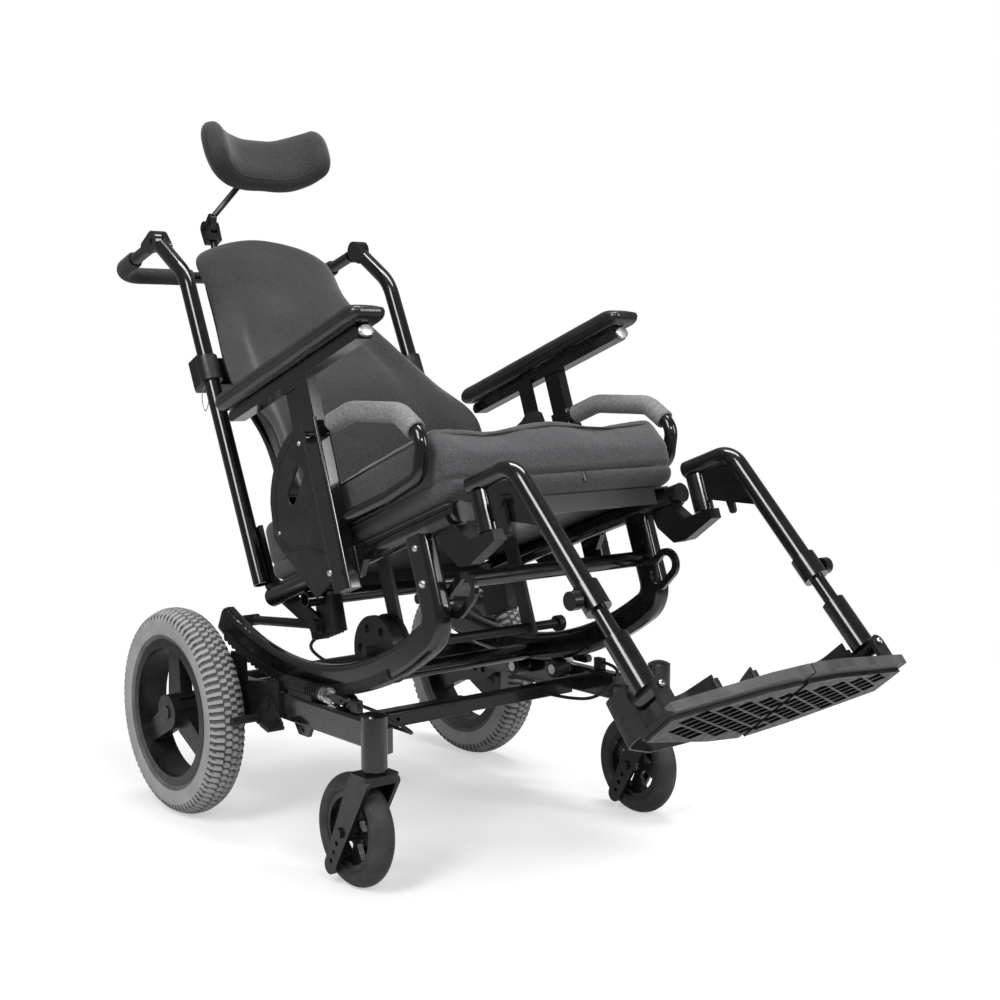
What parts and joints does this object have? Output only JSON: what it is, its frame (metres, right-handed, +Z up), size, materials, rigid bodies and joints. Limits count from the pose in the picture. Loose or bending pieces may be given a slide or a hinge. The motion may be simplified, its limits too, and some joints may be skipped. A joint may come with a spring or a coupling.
{
  "type": "tilt in space wheelchair",
  "caption": "Attendant-pushed wheelchair whose seat rolls back on curved rockers, with reclining back, headrest, sliding armrests, swing-away hangers and flip-up footplates.",
  "frame": {"origin": "on the floor, under the middle of the object's bounding box", "axes": "+Z up, the chair faces -Y, +X to the sitter's left"},
  "size_m": [0.6146, 1.3706, 1.0682],
  "materials": {
    "black_paint": "gloss",
    "steel": "satin",
    "aluminium": "satin",
    "dark_plastic": "matte",
    "rim_plastic": "satin",
    "grey_tyre": "matte",
    "foam": "matte",
    "upholstery": "matte",
    "vinyl": "gloss",
    "cable_jacket": "satin"
  },
  "bodies": {
    "base": {"base_side_rails": "black_paint", "base_cross_tubes": "black_paint", "axle_plates": "black_paint", "rear_axles": "steel", "roller_pins": "steel", "tilt_lock_housings": "dark_plastic", "lock_cables": "cable_jacket"},
    "front_roller_pair": {"front_rollers": "dark_plastic"},
    "rear_roller_pair": {"rear_rollers": "dark_plastic"},
    "tilt_lock_pair": {"tilt_lock_plungers": "steel"},
    "seat": {"rockers": "black_paint", "seat_rails": "black_paint", "seat_pan": "black_paint", "seat_cross_tubes": "black_paint", "hinge_blocks": "black_paint", "arm_receivers": "black_paint", "grab_loops": "black_paint", "grab_grips": "foam", "tie_down_loops": "black_paint", "hanger_brackets": "black_paint", "seat_cushion": "upholstery", "release_cable": "cable_jacket"},
    "release_drum": {"release_shaft": "black_paint"},
    "back": {"back_canes": "black_paint", "back_plates": "black_paint", "cane_clamps": "dark_plastic", "back_shell": "dark_plastic", "back_cushion": "upholstery", "headrest_bracket": "dark_plastic"},
    "handle": {"push_handle": "black_paint", "push_grips": "foam"},
    "headrest_mast": {"headrest_post": "steel"},
    "headrest": {"headrest_rod": "steel", "headrest_pad": "upholstery"},
    "wheel_lock_lever_right": {"wheel_lock_right": "dark_plastic"},
    "rear_wheel_right": {"rear_tyre_right": "grey_tyre", "rear_rim_right": "rim_plastic"},
    "caster_swivel_right": {"caster_fork_right": "black_paint"},
    "caster_roller_right": {"caster_wheel_right": "rim_plastic"},
    "armrest_right": {"armrest_frame_right": "aluminium", "arm_pad_right": "vinyl", "side_guard_right": "dark_plastic"},
    "hanger_arm_right": {"hanger_right": "black_paint"},
    "latch_right": {"latch_lever_right": "dark_plastic"},
    "extension_right": {"footrest_right": "steel"},
    "foot_flap_right": {"footplate_right": "dark_plastic", "heel_loop_right": "upholstery"},
    "wheel_lock_lever_left": {"wheel_lock_left": "dark_plastic"},
    "rear_wheel_left": {"rear_tyre_left": "grey_tyre", "rear_rim_left": "rim_plastic"},
    "caster_swivel_left": {"caster_fork_left": "black_paint"},
    "caster_roller_left": {"caster_wheel_left": "rim_plastic"},
    "armrest_left": {"armrest_frame_left": "aluminium", "arm_pad_left": "vinyl", "side_guard_left": "dark_plastic"},
    "hanger_arm_left": {"hanger_left": "black_paint"},
    "latch_left": {"latch_lever_left": "dark_plastic"},
    "extension_left": {"footrest_left": "steel"},
    "foot_flap_left": {"footplate_left": "dark_plastic", "heel_loop_left": "upholstery"}
  },
  "joints": [
    {"name": "seat_tilt", "type": "hinge", "parent": "base", "child": "seat", "pos_m": [0, 0.08396, 0.755], "axis": [-1, 0, 0], "range_deg": [-20, 25]},
    {"name": "front_roller_turn", "type": "hinge", "parent": "base", "child": "front_roller_pair", "pos_m": [0, -0.02655, 0.21183], "axis": [-1, 0, 0], "range_deg": [-975, 780]},
    {"name": "rear_roller_turn", "type": "hinge", "parent": "base", "child": "rear_roller_pair", "pos_m": [0, 0.06945, 0.20089], "axis": [-1, 0, 0], "range_deg": [-975, 780]},
    {"name": "tilt_lock_pull", "type": "slide", "parent": "base", "child": "tilt_lock_pair", "axis": [0, -1, 0], "range_m": [0, 0.008], "stiffness_N_per_m": 400},
    {"name": "release_turn", "type": "hinge", "parent": "seat", "child": "release_drum", "pos_m": [0, -0.04869, 0.28822], "axis": [-1, 0, 0], "range_deg": [0, 25], "stiffness_Nm_per_rad": 1},
    {"name": "back_recline", "type": "hinge", "parent": "seat", "child": "back", "pos_m": [0, 0.07366, 0.3086], "axis": [-1, 0, 0], "range_deg": [-5, 20]},
    {"name": "handle_angle", "type": "hinge", "parent": "back", "child": "handle", "pos_m": [0, 0.51448, 0.87725], "axis": [1, 0, 0], "range_deg": [-45, 45]},
    {"name": "headrest_height", "type": "slide", "parent": "back", "child": "headrest_mast", "axis": [0, 0.4274, 0.9041], "range_m": [-0.02, 0.06]},
    {"name": "headrest_angle", "type": "hinge", "parent": "headrest_mast", "child": "headrest", "pos_m": [-0.06, 0.58711, 0.909], "axis": [-1, 0, 0], "range_deg": [-20, 20]},
    {"name": "wheel_lock_turn_right", "type": "hinge", "parent": "base", "child": "wheel_lock_lever_right", "pos_m": [-0.242, 0.10596, 0.196], "axis": [1, 0, 0], "range_deg": [0, 14.4]},
    {"name": "rear_wheel_roll_right", "type": "hinge", "parent": "base", "child": "rear_wheel_right", "pos_m": [-0.2788, 0.30096, 0.157], "axis": [1, 0, 0], "continuous": true},
    {"name": "caster_swivel_turn_right", "type": "hinge", "parent": "base", "child": "caster_swivel_right", "pos_m": [-0.258, -0.18304, 0.19], "axis": [0, 0, 1], "continuous": true},
    {"name": "caster_roll_right", "type": "hinge", "parent": "caster_swivel_right", "child": "caster_roller_right", "pos_m": [-0.258, -0.14004, 0.076], "axis": [1, 0, 0], "continuous": true},
    {"name": "armrest_height_right", "type": "slide", "parent": "seat", "child": "armrest_right", "axis": [0, 0.342, 0.9397], "range_m": [0, 0.075]},
    {"name": "hanger_swing_right", "type": "hinge", "parent": "seat", "child": "hanger_arm_right", "pos_m": [-0.19, -0.32449, 0.50992], "axis": [0, -0.342, -0.9397], "range_deg": [0, 90]},
    {"name": "latch_turn_right", "type": "hinge", "parent": "hanger_arm_right", "child": "latch_right", "pos_m": [-0.197, -0.36465, 0.52241], "axis": [-1, 0, 0], "range_deg": [0, 25], "stiffness_Nm_per_rad": 0.3},
    {"name": "footrest_length_right", "type": "slide", "parent": "hanger_arm_right", "child": "extension_right", "axis": [0, -0.7009, -0.7133], "range_m": [-0.03, 0.06]},
    {"name": "footplate_flip_right", "type": "hinge", "parent": "extension_right", "child": "foot_flap_right", "pos_m": [-0.19, -0.61123, 0.32984], "axis": [0, -0.766, 0.6428], "range_deg": [0, 90]},
    {"name": "wheel_lock_turn_left", "type": "hinge", "parent": "base", "child": "wheel_lock_lever_left", "pos_m": [0.242, 0.10596, 0.196], "axis": [1, 0, 0], "range_deg": [0, 14.4]},
    {"name": "rear_wheel_roll_left", "type": "hinge", "parent": "base", "child": "rear_wheel_left", "pos_m": [0.2788, 0.30096, 0.157], "axis": [1, 0, 0], "continuous": true},
    {"name": "caster_swivel_turn_left", "type": "hinge", "parent": "base", "child": "caster_swivel_left", "pos_m": [0.258, -0.18304, 0.19], "axis": [0, 0, 1], "continuous": true},
    {"name": "caster_roll_left", "type": "hinge", "parent": "caster_swivel_left", "child": "caster_roller_left", "pos_m": [0.258, -0.14004, 0.076], "axis": [1, 0, 0], "continuous": true},
    {"name": "armrest_height_left", "type": "slide", "parent": "seat", "child": "armrest_left", "axis": [0, 0.342, 0.9397], "range_m": [0, 0.075]},
    {"name": "hanger_swing_left", "type": "hinge", "parent": "seat", "child": "hanger_arm_left", "pos_m": [0.19, -0.32449, 0.50992], "axis": [0, 0.342, 0.9397], "range_deg": [0, 90]},
    {"name": "latch_turn_left", "type": "hinge", "parent": "hanger_arm_left", "child": "latch_left", "pos_m": [0.197, -0.36465, 0.52241], "axis": [-1, 0, 0], "range_deg": [0, 25], "stiffness_Nm_per_rad": 0.3},
    {"name": "footrest_length_left", "type": "slide", "parent": "hanger_arm_left", "child": "extension_left", "axis": [0, -0.7009, -0.7133], "range_m": [-0.03, 0.06]},
    {"name": "footplate_flip_left", "type": "hinge", "parent": "extension_left", "child": "foot_flap_left", "pos_m": [0.19, -0.61123, 0.32984], "axis": [0, 0.766, -0.6428], "range_deg": [0, 90]}
  ],
  "couplings": [
    {"joint": "front_roller_turn", "follows": "seat_tilt", "ratio": -38.571},
    {"joint": "rear_roller_turn", "follows": "seat_tilt", "ratio": -38.571}
  ]
}
